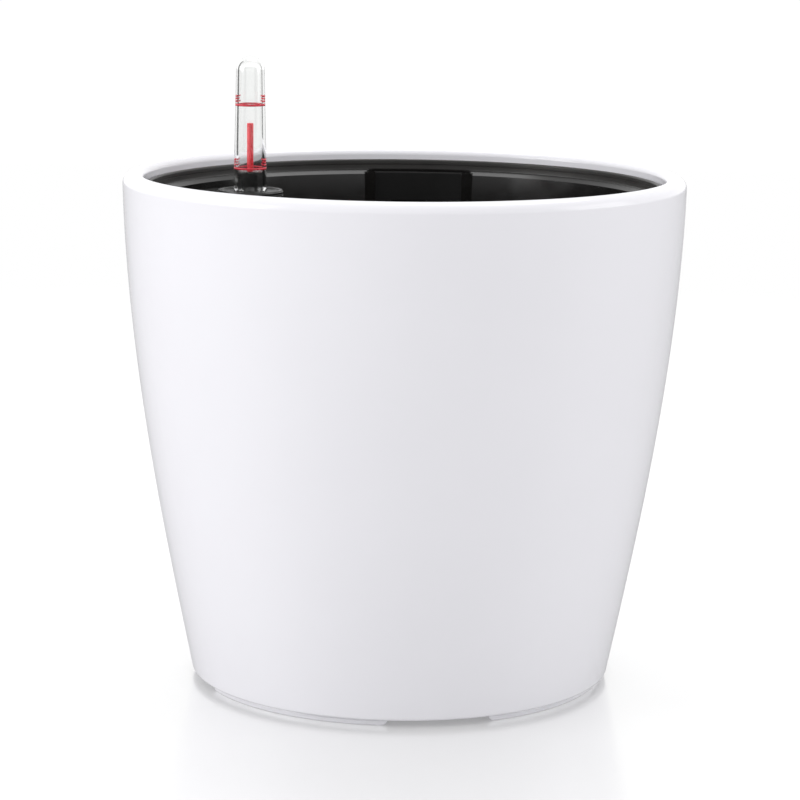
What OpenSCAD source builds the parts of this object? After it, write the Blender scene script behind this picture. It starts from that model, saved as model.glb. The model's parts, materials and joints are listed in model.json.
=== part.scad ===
// Round self watering planter: a glossy outer pot that holds the water, a black liner that
// stands in it and holds the soil, and a float gauge that drops into the liner's supply shaft.
// Origin: the centre of the pot's footprint, on the surface it stands on. +Z is up, -Y is the front.

/* [Outer pot] */
// Diameter at the widest place, just under the rim
pot_d = 254; // [250:1:260]
// Height from the floor to the crest of the rim
pot_h = 231.6; // [229:0.2:234]
// Thickness of the side wall
pot_wall = 4; // [3:0.1:4.2]
// Thickness of the pot's floor
pot_floor = 4; // [3.5:0.1:4.5]
// Height of the foot ring
foot_h = 3; // [2.5:0.1:3.4]
// Angle of each gap in the foot ring
foot_gap = 28; // [16:1:40]
// Inner radius of the in-turned lip
lip_r = 117.6; // [117.4:0.1:118.2]

/* [Liner] */
// Outer radius of the rim band
band_r = 116.8; // [116.4:0.1:116.9]
// Distance from the pot's crest down to the liner's edge
liner_drop = 5; // [4:0.1:6]
// Height of the rim band
band_h = 4.8; // [4:0.1:5.5]
// Wall thickness of the liner
liner_wall = 2; // [1.8:0.1:2.2]
// Height of the liner's floor above the resting surface
liner_floor_z = 58; // [57:0.5:60]

/* [Lifting handles] */
// Direction of the back handle, from +X towards +Y
handle_az = 86.5; // [80:0.5:95]
// How far each handle pulls up
handle_travel = 44; // [30:1:44]

/* [Water gauge] */
// Place of the gauge from left to right
gauge_x = -72; // [-73:0.5:-71]
// Place of the gauge from front to back
gauge_y = 40; // [39:0.5:41]
// Height of the clear cap above its flange
cap_h = 62.6; // [58:0.2:64]
// Outer radius of the clear cap at its foot
cap_r = 7.75; // [7.6:0.05:8]
// Radius of the red rod
rod_r = 1.5; // [1.2:0.05:1.6]
// Distance from the MIN mark to the MAX mark, which is the float's travel
float_travel = 29.4; // [26:0.2:29.4]
// How far the float stands above its low stop
float_rest = 20.8; // [16:0.2:20.8]

/* [Reservoir] */
// Radius of the drain plug's shank
plug_r = 8; // [7:0.5:9]
// Radius of the circle that the wick cups stand on
cup_circle_r = 46; // [44:0.5:47]

/* [Hidden] */
$fn = 96;
eps = 0.01;
far = 300;                                   // longer than anything it has to cut through
sink = 1;                                    // how far joined or cut shapes run into each other
fit = 0.05;                                  // radial clearance of a running fit
push_gap = 0.1;                              // radial clearance of parts pushed together by hand
press_gap = 0.02;                            // the same of parts that stay together

// Outer pot
rim_r = pot_d / 2;
rim_h = 4.8;                                 // height of the rim's outer rounding
crest_r = rim_r - 5.5;
wide_z = pot_h - rim_h;                      // height of the widest place
rim_steps = 5;
lip_h = 9;                                   // depth of the in-turned lip below the crest
lip_wall = 3;
lip_round = 3;                               // rounding of the crest towards the lip
lip_groove = 4;                              // height of the hollow behind the lip
edge_r = 1.5;                                // rounding of the pot's bottom edge
pot_steps = 20;
belly = [5.2, 38.6, 12.4];                   // how the side curves in from the widest place
foot_r = 92.6;
foot_wall = 4;
foot_az = 281;                               // direction of the middle of the front gap
foot_count = 4;
pot_inside_z = foot_h + pot_floor;
boss_h = 3;
boss_r = 14;

// Drain
seal_r = 12;
seal_h = 1.5;
plug_z = foot_h + 0.8;                       // underside of the plug
plug_wall = 2;
plug_hollow = 1.2;                           // depth of the hollow under the plug
plug_head_z = pot_inside_z + boss_h + seal_h;
plug_head_r = 12.5;
plug_head_h = 4.5;
plug_grip = [20, 4, 5];                      // the bar that the fingers turn, its height above the head

// Liner
liner_top = pot_h - liner_drop;
band_z = liner_top - band_h;                 // foot of the rim band
shoulder_in = 3;                             // how far the shoulder turns in under the band
shoulder_h = 2;
wall_top_r = band_r - shoulder_in;           // outer radius where the tapered wall starts
wall_top_z = band_z - shoulder_h;
wall_low_r = 100.6;
liner_floor = 3;
soil_z = liner_floor_z + liner_floor;
liner_in_r = wall_low_r - liner_wall;
leg_r = 9;
leg_low_r = 7;
leg_circle_r = 84;
leg_wall = 2;
leg_count = 4;
drip_r = 2.5;                                // drip holes in the liner's floor
drip_rings = [[12, 69, 15], [6, 18, 0]];     // how many, on which radius, and the first one's angle

// Lifting handles
handle_half = 11.2;                          // half the angle that a handle's plate takes
pocket_half = 13.4;
pocket_wall = 1.7;
pocket_cheek = 0.9;                          // thickness of the pocket's side walls, as an angle
pocket_z = band_z - 56;
plate_r = band_r - liner_wall - 0.4;         // outer radius of the sliding plate
plate_wall = 2;
pocket_depth = 5.6;                          // from the plate's outer face in to the pocket's floor's edge
plate_h = 52;
plate_z = band_z - 1 - plate_h;
ear_half = 12.4;                             // the plate's foot is wider and runs in the guides
ear_h = 5;
guide_half = 1.2;                            // half the angle of one guide
grip_h = 14;
sill_h = 4;                                  // height of the plate between its ears and its window
window_half = 8.6;
guide_depth = 1.6;                           // how far the guides reach in front of the plate
slide_gap = 0.35;                            // play of the plate in its guides
slide_gap_half = 0.25;                       // the same at its sides, as an angle

// Gauge and supply shaft
gauge_r = norm([gauge_x, gauge_y]);
gauge_az = atan2(gauge_y, gauge_x);
seat_z = liner_top - 10;                     // top of the platform
gasket_h = 0.8;
flange_z = seat_z + gasket_h;
flange_h = 0.9;
flange_r = 15.4;
mouth_r = 13.5;
platform_h = 3;
platform_bite = 0.8;                         // how deep the platform runs into the liner's wall
shaft_r = 15.9;
shaft_wall = 1.8;
shaft_top = seat_z - platform_h;
socket_wall = 2;
socket_h = 4;                                // height of the ring that holds the shaft's foot
skirt_r = 18;
skirt_z = shaft_top - 18;
seat_r = 15.6;                               // the platform's raised top, just wider than the flange
seat_h = 2;
strainer_z = pot_inside_z + 19;              // clear of the pot's tapered wall
strainer_r = mouth_r - push_gap;
strainer_wall = 1.4;
strainer_rim = 1.2;                          // thickness of the rim that rests on the liner's floor
strainer_slot = [2, 25];                     // width and height
tube_r = 10.2;
tube_wall = 1.5;
foot_z = pot_inside_z + 11;                   // underside of the gauge, clear of the tapered wall
gauge_foot_h = 3.5;
tube_z = foot_z + gauge_foot_h;
tube_top = flange_z - 2;
tube_slots = [[8, 34], [tube_top - tube_z - 24, 6]];   // height above the tube's foot, and length
tube_slot_w = 3;
foot_groove = [3, 1.5];                      // width and depth of the cross groove under the gauge
stop_z = tube_z + 1.5;                       // top of the float's low stop
float_r = 8.1;
float_h = 45;
float_z = stop_z + 0.2 + float_rest;
float_socket = 3;                            // solid foam under the rod's end
clip_r = 4;
clip_h = 2;
guide_z = float_z - float_rest + float_travel + float_h + clip_h + 0.3;
guide_h = 6;
neck_h = 8;                                  // depth of the neck that fits the platform's mouth
neck_r = mouth_r - 0.4;
bezel = [1.7, 0.7];                          // width and height of the raised ring round the flange
bezel_r = flange_r - 0.3;
collar_r = 5.8;
collar_h = 9.3;
cap_z = flange_z + flange_h;
cap_taper = 1.15;                            // how much narrower the cap is at its dome
cap_wall = 1.8;                              // at the cap's foot
dome_wall = 1.3;
dome_r = cap_r - cap_taper;
notch = [2, 0.8];                            // width and height of the notches in the cap's foot
bore_r = rod_r + push_gap;
rod_top = cap_z + collar_h + 1.4 + float_rest;

// Wick cups
cup_count = 3;
cup_az = gauge_az - 90;
cup_r = 16;
cup_low_r = 13;
cup_wall = 1.6;
cup_z = pot_inside_z + 3;
cup_rim = 1.5;
cup_rim_r = cup_r + 2;
cup_slot = [2, 30];                          // width and height
cup_slot_z = cup_z + 6;
cup_drain = [1.5, 6];                        // radius of the four holes in its floor, and of their circle
wick_r = 10.8;
wick_out = 3;                                // how far a wick stands above the separator

// Separator
sep_z = soil_z + 3;
sep_h = 3;
sep_r = 95;
sep_gap = 1.5;                               // play round the shaft's housing, which it lifts past
sep_rim = [2, 8];                            // width and height of the upturned rim
sep_hole_r = 2.6;
sep_pitch = 15;
sep_margin = 12;                             // plain width at the edge
sep_foot_r = 4;
sep_foot_circle = 84;
sep_feet = 6;

white = [0.93, 0.93, 0.94];
black = [0.08, 0.08, 0.085];
grey = [0.22, 0.22, 0.23];
rubber = [0.15, 0.15, 0.16];
natural = [0.85, 0.85, 0.84];
foam = [0.92, 0.91, 0.86];
felt = [0.80, 0.79, 0.75];
red = [0.80, 0.10, 0.12];
clear = [0.85, 0.90, 0.92, 0.35];

// Outer radius of the pot at height z: a cubic that bellies out towards the rim
function pot_r(z) = let (t = (wide_z - z) / wide_z)
    rim_r - belly[0] * t - belly[1] * t * t + belly[2] * t * t * t;
// Points along the pot's side, from height low to height high, moved inwards by inset
function side(low, high, inset, steps = pot_steps) =
    [for (i = [0:steps]) let (z = low + (high - low) * i / steps) [pot_r(z) - inset, z]];
// Points on an elliptical arc
function arc(cx, cz, rx, rz, from, to, steps) =
    [for (i = [0:steps]) let (a = from + (to - from) * i / steps) [cx + rx * cos(a), cz + rz * sin(a)]];
// Outer radius of the liner's tapered wall at height z
function liner_r(z) =
    wall_low_r + (wall_top_r - wall_low_r) * (z - liner_floor_z) / (wall_top_z - liner_floor_z);

// A ring, or a part of one that spans half degrees to each side of direction az
module ring(r_out, r_in, z, h, az = 0, half = 180) {
    rotate([0, 0, az - half])
        translate([0, 0, z])
            rotate_extrude(angle = 2 * half)
                translate([r_in, 0]) square([r_out - r_in, h]);
}
module disc(r, z, h) {
    translate([0, 0, z]) cylinder(r = r, h = h);
}
module at_gauge() {
    translate([gauge_x, gauge_y, 0]) children();
}
module at_cup(i) {
    rotate([0, 0, cup_az + 360 / cup_count * i]) translate([cup_circle_r, 0, 0]) children();
}
module at_legs() {
    for (i = [0:leg_count - 1])
        rotate([0, 0, gauge_az + 360 / leg_count * (i + 0.5)]) translate([leg_circle_r, 0, 0]) children();
}
// Plan of the housing round the shaft: a round nose with parallel flanks out to the wall
module housing_plan(r) {
    rotate(gauge_az) {
        translate([gauge_r, 0]) circle(r = r);
        translate([gauge_r, -r]) square([band_r, 2 * r]);
    }
}

// ---- Outer pot ----
module pot_profile() {
    low = foot_h;
    lip_z = pot_h - lip_h;
    inner_top = lip_z + lip_groove;
    polygon(concat(
        [[0, low], [pot_r(low) - edge_r, low]],
        side(low + edge_r, wide_z, 0),
        arc(crest_r, wide_z, rim_r - crest_r, rim_h, 15, 90, rim_steps),
        arc(crest_r, pot_h - lip_round, crest_r - lip_r, lip_round, 105, 180, rim_steps),
        [[lip_r, lip_z], [lip_r + lip_wall, lip_z], [lip_r + lip_wall, inner_top]],
        [for (i = [pot_steps:-1:0]) let (z = pot_inside_z + (inner_top - pot_inside_z) * i / pot_steps)
            [pot_r(z) - pot_wall, z]],
        [[0, pot_inside_z]]
    ));
}
module foot_segments() {
    half = (360 / foot_count - foot_gap) / 2;
    for (i = [0:foot_count - 1])
        ring(foot_r, foot_r - foot_wall, 0, foot_h + sink, foot_az + 360 / foot_count * (i + 0.5), half);
}
module outer_pot() {
    color(white)
    difference() {
        union() {
            rotate_extrude() pot_profile();
            foot_segments();
            disc(boss_r, pot_inside_z - sink, boss_h + sink);
        }
        disc(plug_r + fit, -eps, far);
    }
}

// ---- Drain ----
module drain_plug() {
    color(black)
    difference() {
        union() {
            disc(plug_r, plug_z, plug_head_z + sink - plug_z);
            disc(plug_head_r, plug_head_z, plug_head_h);
            translate([-plug_grip[0] / 2, -plug_grip[1] / 2, plug_head_z + plug_head_h - sink])
                cube([plug_grip[0], plug_grip[1], plug_grip[2] + sink]);
        }
        disc(plug_r - plug_wall, 0, pot_inside_z + plug_hollow);
    }
}
module drain_seal() {
    color(rubber) ring(seal_r, plug_r + push_gap, pot_inside_z + boss_h, seal_h);
}

// ---- Liner ----
module liner_shell() {
    rotate_extrude()
    polygon([
        [0, liner_floor_z], [wall_low_r, liner_floor_z],
        [wall_top_r, wall_top_z], [band_r, band_z],
        [band_r, liner_top], [band_r - liner_wall, liner_top],
        [band_r - liner_wall, band_z], [wall_top_r - liner_wall, wall_top_z],
        [liner_in_r, soil_z], [0, soil_z]
    ]);
}
module pocket(az) {
    ring(band_r, plate_r - pocket_depth, pocket_z, band_z + sink - pocket_z, az, pocket_half);
}
module pocket_void(az) {
    low = pocket_z + liner_wall;
    ring(band_r - pocket_wall, liner_in_r / 2, low, band_z + sink - low, az, pocket_half - pocket_cheek);
}
module guides(az) {
    low_r = plate_r - plate_wall;
    stop = plate_z + ear_h + handle_travel + 0.3;
    for (side = [-1, 1])
        difference() {
            ring(band_r - sink, low_r - guide_depth, pocket_z + sink, band_z - pocket_z - 2 * sink,
                 az + side * (pocket_half - guide_half), guide_half);
            ring(band_r, low_r - slide_gap, pocket_z, far, az, handle_half + slide_gap_half);
            ring(band_r, low_r - slide_gap, pocket_z, stop - pocket_z, az, ear_half + slide_gap_half);
        }
}
// A slab of the housing's plan, radius r at its nose
module slab(r, low, high) {
    translate([0, 0, low]) linear_extrude(height = high - low) housing_plan(r);
}
module platform() {
    intersection() {
        difference() {
            union() {
                slab(skirt_r, skirt_z, seat_z - seat_h);
                slab(seat_r, seat_z - seat_h - sink, seat_z);
            }
            slab(shaft_r + push_gap, skirt_z - sink, shaft_top);
        }
        liner_room(platform_bite);
    }
}
// The room inside the liner's wall, grown outwards by extra
module liner_room(extra) {
    low = liner_floor_z;
    high = wall_top_z;
    translate([0, 0, low])
        cylinder(h = high - low, r1 = liner_r(low) - liner_wall + extra,
                 r2 = liner_r(high) - liner_wall + extra);
}
// A tapered leg that stands on the pot's floor, grown outwards by extra
module leg(z, extra) {
    translate([0, 0, z]) cylinder(r1 = leg_low_r + extra, r2 = leg_r + extra, h = liner_floor_z + sink - z);
}
module drip_holes() {
    for (row = drip_rings, i = [0:row[0] - 1])
        rotate([0, 0, cup_az + row[2] + 360 / row[0] * i])
            translate([row[1], 0, 0]) disc(drip_r, 0, soil_z + sink);
}
module liner() {
    color(black)
    difference() {
        union() {
            difference() {
                union() {
                    liner_shell();
                    pocket(handle_az);
                    pocket(handle_az + 180);
                }
                pocket_void(handle_az);
                pocket_void(handle_az + 180);
            }
            guides(handle_az);
            guides(handle_az + 180);
            platform();
            at_legs() leg(pot_inside_z, 0);
            at_gauge() ring(shaft_r + socket_wall, shaft_r + push_gap, soil_z - sink, socket_h + sink);
        }
        at_gauge() disc(mouth_r, 0, far);
        at_legs() leg(pot_inside_z + leg_wall, -leg_wall);
        at_legs() disc(leg_r - leg_wall, liner_floor_z + sink - eps, far);
        for (i = [0:cup_count - 1]) at_cup(i) disc(cup_r + push_gap, 0, far);
        drip_holes();
    }
}

// ---- Lifting handles ----
module handle(az) {
    low_r = plate_r - plate_wall;
    window_z = plate_z + ear_h + sill_h;
    difference() {
        union() {
            ring(plate_r, low_r, plate_z, plate_h, az, handle_half);
            ring(plate_r, low_r, plate_z, ear_h, az, ear_half);
        }
        ring(plate_r + sink, low_r - sink, window_z, plate_z + plate_h - grip_h - window_z, az, window_half);
    }
}
module handle_back() { color(black) handle(handle_az); }
module handle_front() { color(black) handle(handle_az + 180); }

// ---- Separator ----
module sep_holes() {
    reach = floor(sep_r / sep_pitch);
    for (i = [-reach:reach], j = [-reach:reach]) {
        p = [sep_pitch * (i + 0.5 * (j % 2)), sep_pitch * sqrt(3) / 2 * j];
        clear_of_cups = min([for (k = [0:cup_count - 1]) let (a = cup_az + 360 / cup_count * k)
            norm(p - cup_circle_r * [cos(a), sin(a)])]) > wick_r + 6;
        clear_of_shaft = norm(p - [gauge_x, gauge_y]) > skirt_r + 7;
        if (norm(p) < sep_r - sep_margin && clear_of_cups && clear_of_shaft)
            translate([p[0], p[1], 0]) disc(sep_hole_r, sep_z - sink, sep_h + 2 * sink);
    }
}
module separator() {
    color(grey)
    difference() {
        union() {
            disc(sep_r, sep_z, sep_h);
            ring(sep_r, sep_r - sep_rim[0], sep_z, sep_rim[1]);
            for (i = [0:sep_feet - 1])
                rotate([0, 0, cup_az + 360 / sep_feet * (i + 0.5)])
                    translate([sep_foot_circle, 0, 0]) disc(sep_foot_r, soil_z, sep_z + sink - soil_z);
        }
        slab(skirt_r + sep_gap, soil_z - sink, far);
        for (i = [0:cup_count - 1]) at_cup(i) disc(wick_r + 1, soil_z - sink, far);
        sep_holes();
    }
}

// ---- Supply shaft ----
module supply_shaft() {
    color(black)
    at_gauge() difference() {
        disc(shaft_r, soil_z, shaft_top - soil_z);
        disc(shaft_r - shaft_wall, 0, far);
    }
}
module shaft_strainer() {
    color(grey)
    at_gauge() difference() {
        union() {
            disc(strainer_r, strainer_z, soil_z - strainer_z);
            disc(shaft_r - shaft_wall - push_gap, soil_z, strainer_rim);
        }
        disc(strainer_r - strainer_wall, 0, far);
        for (i = [0:7]) rotate([0, 0, 45 * i])
            translate([strainer_r - 3, -strainer_slot[0] / 2, strainer_z + 5])
                cube([6, strainer_slot[0], strainer_slot[1]]);
    }
}

// ---- Wick cups and wicks ----
module wick_cup(i) {
    color(black)
    at_cup(i) difference() {
        union() {
            translate([0, 0, cup_z]) cylinder(r1 = cup_low_r, r2 = cup_r - push_gap, h = soil_z - cup_z);
            disc(cup_rim_r, soil_z, cup_rim);
        }
        translate([0, 0, cup_z + cup_wall])
            cylinder(r1 = cup_low_r - cup_wall, r2 = cup_r - cup_wall, h = soil_z + 4 - cup_z - cup_wall);
        for (k = [0:7]) rotate([0, 0, 45 * k])
            translate([cup_low_r - 4, -cup_slot[0] / 2, cup_slot_z]) cube([10, cup_slot[0], cup_slot[1]]);
        for (k = [0:3]) rotate([0, 0, 90 * k])
            translate([cup_drain[1], 0, 0]) disc(cup_drain[0], cup_z - sink, cup_wall + 2 * sink);
    }
}
module wick(i) {
    wick_z = cup_z + cup_wall;
    color(felt) at_cup(i) disc(wick_r, wick_z, sep_z + sep_h + wick_out - wick_z);
}
module wick_cup_1() { wick_cup(0); }
module wick_cup_2() { wick_cup(1); }
module wick_cup_3() { wick_cup(2); }
module wick_1() { wick(0); }
module wick_2() { wick(1); }
module wick_3() { wick(2); }

// ---- Water gauge ----
module gauge_flange() {
    neck_z = flange_z - neck_h;
    color(black)
    at_gauge() difference() {
        union() {
            disc(flange_r, flange_z, flange_h);
            ring(bezel_r, bezel_r - bezel[0], flange_z + flange_h - eps, bezel[1] + eps);
            disc(collar_r, flange_z, flange_h + collar_h);
            disc(neck_r, neck_z, neck_h);
        }
        disc(tube_r + press_gap, neck_z - sink, tube_top + sink - neck_z);
        disc(bore_r, 0, far);
    }
}
module flange_gasket() {
    color(rubber) at_gauge() ring(bezel_r, mouth_r - 0.3, seat_z, gasket_h);
}
module gauge_tube() {
    color(black)
    at_gauge() difference() {
        disc(tube_r, tube_z, tube_top - tube_z);
        disc(tube_r - tube_wall, 0, far);
        for (k = [0:3], slot = tube_slots) rotate([0, 0, 90 * k])
            translate([tube_r - 4, -tube_slot_w / 2, tube_z + slot[0]]) cube([8, tube_slot_w, slot[1]]);
    }
}
module gauge_foot() {
    color(grey)
    at_gauge() difference() {
        union() {
            disc(tube_r, foot_z, tube_z - foot_z);
            disc(tube_r - tube_wall - press_gap, tube_z, stop_z - tube_z);
        }
        for (k = [0:3]) rotate([0, 0, 45 + 90 * k]) translate([5, 0, 0]) disc(1.6, 0, far);
        translate([-far / 2, -foot_groove[0] / 2, 0]) cube([far, foot_groove[0], foot_z + foot_groove[1]]);
    }
}
module rod_guide() {
    color(natural)
    at_gauge() difference() {
        disc(tube_r - tube_wall - press_gap, guide_z, guide_h);
        disc(bore_r, 0, far);
    }
}
module gauge_cap() {
    straight = cap_h - dome_r;
    color(clear)
    at_gauge() difference() {
        union() {
            translate([0, 0, cap_z]) cylinder(r1 = cap_r, r2 = dome_r, h = straight);
            translate([0, 0, cap_z + straight]) sphere(r = dome_r);
        }
        translate([0, 0, cap_z - eps]) cylinder(r1 = cap_r - cap_wall, r2 = dome_r - dome_wall, h = straight);
        translate([0, 0, cap_z + straight - 0.1]) sphere(r = dome_r - dome_wall);
        for (k = [0:7]) rotate([0, 0, 45 * k])
            translate([collar_r, -notch[0] / 2, cap_z - sink]) cube([4, notch[0], notch[1] + sink]);
    }
}

// ---- Float ----
module float_body() {
    color(foam)
    at_gauge() difference() {
        disc(float_r, float_z, float_h);
        disc(rod_r + press_gap, float_z + float_socket, float_h);
    }
}
module float_rod() {
    rod_z = float_z + float_socket;
    color(red) at_gauge() disc(rod_r, rod_z, rod_top - rod_z);
}
module float_clip() {
    color(natural) at_gauge() ring(clip_r, rod_r + press_gap, float_z + float_h, clip_h);
}

outer_pot();
drain_plug();
drain_seal();
liner();
handle_back();
handle_front();
separator();
supply_shaft();
shaft_strainer();
wick_cup_1();
wick_cup_2();
wick_cup_3();
wick_1();
wick_2();
wick_3();
gauge_flange();
flange_gasket();
gauge_tube();
gauge_foot();
rod_guide();
gauge_cap();
float_body();
float_rod();
float_clip();
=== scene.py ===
import json
import math

import bmesh
import bpy
from mathutils import Matrix, Vector, noise


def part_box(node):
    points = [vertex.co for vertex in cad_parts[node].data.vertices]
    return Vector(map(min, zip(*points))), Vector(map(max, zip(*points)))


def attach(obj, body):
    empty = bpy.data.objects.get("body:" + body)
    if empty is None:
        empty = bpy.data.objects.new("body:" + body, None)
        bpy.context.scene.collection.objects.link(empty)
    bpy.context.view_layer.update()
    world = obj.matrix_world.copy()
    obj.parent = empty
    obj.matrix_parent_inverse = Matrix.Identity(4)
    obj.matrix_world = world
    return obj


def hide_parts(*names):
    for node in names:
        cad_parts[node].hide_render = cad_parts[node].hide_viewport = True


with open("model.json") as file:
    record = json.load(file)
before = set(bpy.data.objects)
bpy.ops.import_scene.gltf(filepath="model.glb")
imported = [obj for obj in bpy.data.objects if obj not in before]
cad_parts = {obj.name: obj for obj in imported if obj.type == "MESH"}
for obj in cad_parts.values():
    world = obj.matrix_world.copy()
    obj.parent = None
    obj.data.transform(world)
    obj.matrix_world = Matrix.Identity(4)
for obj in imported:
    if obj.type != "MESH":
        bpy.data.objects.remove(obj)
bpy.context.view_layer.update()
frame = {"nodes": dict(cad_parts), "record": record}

# ---------------------------------------------------------------- sizes, in metres, from the frame
MM = 0.001


def box_of(node):
    low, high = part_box(node)
    return low, high, (low + high) / 2


_, POT_HIGH, _ = box_of("outer_pot")
CAP_LOW, CAP_HIGH, CAP_MID = box_of("gauge_cap")
FLANGE_LOW, FLANGE_HIGH, _ = box_of("gauge_flange")
GASKET_LOW, GASKET_HIGH, _ = box_of("flange_gasket")
ROD_LOW, ROD_HIGH, _ = box_of("float_rod")
FLOAT_LOW, FLOAT_HIGH, _ = box_of("float_body")
TUBE_LOW, TUBE_HIGH, _ = box_of("gauge_tube")
SHAFT_LOW, SHAFT_HIGH, _ = box_of("supply_shaft")
_, LINER_HIGH, _ = box_of("liner")
HANDLE_LOW, HANDLE_HIGH, HANDLE_MID = box_of("handle_back")
CUP_MIDS = [box_of(f"wick_cup_{i}")[2] for i in (1, 2, 3)]

RIM_R = POT_HIGH.x
POT_H = POT_HIGH.z
CREST_R = RIM_R - 5.5 * MM
RIM_H = 4.8 * MM                      # height of the rim's outer rounding
WIDE_Z = POT_H - RIM_H
FOOT_H = 3 * MM
POT_WALL = 4 * MM
POT_INSIDE_Z = 7 * MM
LIP_R = 117.6 * MM
LIP_WALL = 3 * MM
LIP_Z = POT_H - 9 * MM
BELLY = (5.2 * MM, 38.6 * MM, 12.4 * MM)   # how the side curves in below the widest place
FOOT_R, FOOT_WALL = 92.6 * MM, 4 * MM
FOOT_AZ, FOOT_COUNT, FOOT_GAP = 281, 4, 28          # gaps in the foot: first azimuth, count, width
BOSS_R, BOSS_H, DRAIN_R = 14 * MM, 3 * MM, 8.05 * MM

GAUGE = (CAP_MID.x, CAP_MID.y)
GAUGE_AZ = math.degrees(math.atan2(GAUGE[1], GAUGE[0]))
GAUGE_R = math.hypot(*GAUGE)
HANDLE_AZ = math.degrees(math.atan2(HANDLE_MID.y, HANDLE_MID.x))

BAND_R = LIP_R - 0.8 * MM             # outer radius of the liner's rim band
LINER_TOP = LINER_HIGH.z
BAND_Z = LINER_TOP - 4.8 * MM
LINER_WALL = 2 * MM
WALL_TOP_R = BAND_R - 3 * MM
WALL_TOP_Z = BAND_Z - 2 * MM
WALL_LOW_R = 100.6 * MM
LINER_FLOOR_Z = 58 * MM
SOIL_Z = 61 * MM
SEAT_Z = GASKET_LOW.z                 # top of the platform that the gauge stands on
SHAFT_R = (SHAFT_HIGH.x - SHAFT_LOW.x) / 2
SKIRT_R, SEAT_R, MOUTH_R = 18 * MM, 15.6 * MM, 13.5 * MM
SKIRT_H, STEP_H = 21 * MM, 2 * MM     # the platform's whole depth, and its raised seat's
LEG_R, LEG_LOW_R, LEG_CIRCLE_R = 9 * MM, 7 * MM, 84 * MM
LEG_TOP_Z = SOIL_Z - 1.5 * MM
LEG_AZ = [math.radians(GAUGE_AZ + 90 * (i + 0.5)) for i in range(4)]
LEGS = [(LEG_CIRCLE_R * math.cos(a), LEG_CIRCLE_R * math.sin(a)) for a in LEG_AZ]
CUP_R = 16.1 * MM                     # holes that the wick cups hang in
CUP_AZ = GAUGE_AZ - 90
DRIP_R = 2.5 * MM
HOLE_LOW, HOLE_HIGH = 50 * MM, 64 * MM              # the cutters' reach through the liner's floor
DRIP_RINGS = ((12, 69 * MM, 15), (6, 18 * MM, 0))   # how many, on which radius, the first one's angle

POCKET_HALF, POCKET_CHEEK = 13.4, 0.9               # half the pocket's angle, and its cheek's
POCKET_WALL = 1.7 * MM
POCKET_Z = BAND_Z - 56 * MM
HANDLE_OUT_R = BAND_R - LINER_WALL - 0.4 * MM
HANDLE_IN_R = HANDLE_OUT_R - 2 * MM
GUIDE_R = HANDLE_IN_R - 1.6 * MM
HANDLE_HALF, EAR_HALF, WINDOW_HALF = 11.2, 12.4, 8.6
EAR_H, SILL_H, GRIP_H, HANDLE_TRAVEL = 5 * MM, 4 * MM, 14 * MM, 44 * MM
STOP_Z = HANDLE_LOW.z + EAR_H + HANDLE_TRAVEL + 0.3 * MM

CAP_H = CAP_HIGH.z - CAP_LOW.z
CAP_FOOT_R = (CAP_HIGH.x - CAP_LOW.x) / 2
DOME_R = CAP_FOOT_R - 1.15 * MM
CAP_WALL_LOW, CAP_WALL_TOP = 1.8 * MM, 1.3 * MM
NOTCHES = 8                           # small water vents round the cap's foot
FLANGE_R = (FLANGE_HIGH.x - FLANGE_LOW.x) / 2
NECK_R, COLLAR_R = 13.1 * MM, 5.8 * MM
TUBE_R = (TUBE_HIGH.x - TUBE_LOW.x) / 2
ROD_R = (ROD_HIGH.x - ROD_LOW.x) / 2
LEVELS = (229.0 * MM, 258.4 * MM)     # the MIN and MAX marks
LINE_H, TICK_H, INK = 0.95 * MM, 0.75 * MM, 0.14 * MM
TICK_HALVES = (30, 22, 30)            # half the angle of each tick above a line
FIRST_TICK, TICK_STEP = 1.6, 1.2      # mm above the line


# ---------------------------------------------------------------- meshes
def mesh_object(name, bm, smooth=True):
    """Turns a bmesh into an object with outward normals."""
    bmesh.ops.remove_doubles(bm, verts=bm.verts, dist=1e-7)
    bmesh.ops.recalc_face_normals(bm, faces=bm.faces)
    mesh = bpy.data.meshes.new(name)
    bm.to_mesh(mesh)
    bm.free()
    for polygon in mesh.polygons:
        polygon.use_smooth = smooth
    obj = bpy.data.objects.new(name, mesh)
    bpy.context.scene.collection.objects.link(obj)
    return obj


def fillet(points, radii, steps=5):
    """A closed outline of flat points with its corners rounded, each to its own radius."""
    out = []
    count = len(points)
    for i, (point, radius) in enumerate(zip(points, radii)):
        here = Vector(point)
        before, after = Vector(points[i - 1]) - here, Vector(points[(i + 1) % count]) - here
        if radius <= 0 or before.length < 1e-9 or after.length < 1e-9:
            out.append(tuple(here))
            continue
        angle = before.angle(after)
        reach = min(radius / math.tan(angle / 2), 0.49 * before.length, 0.49 * after.length)
        start, end = here + before.normalized() * reach, here + after.normalized() * reach
        radius = reach * math.tan(angle / 2)
        inward = (before.normalized() + after.normalized()).normalized()
        centre = here + inward * radius / math.sin(angle / 2)
        a0 = math.atan2(start.y - centre.y, start.x - centre.x)
        a1 = math.atan2(end.y - centre.y, end.x - centre.x)
        swing = (a1 - a0 + math.pi) % (2 * math.pi) - math.pi
        for k in range(steps + 1):
            a = a0 + swing * k / steps
            out.append((centre.x + radius * math.cos(a), centre.y + radius * math.sin(a)))
    return out


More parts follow.
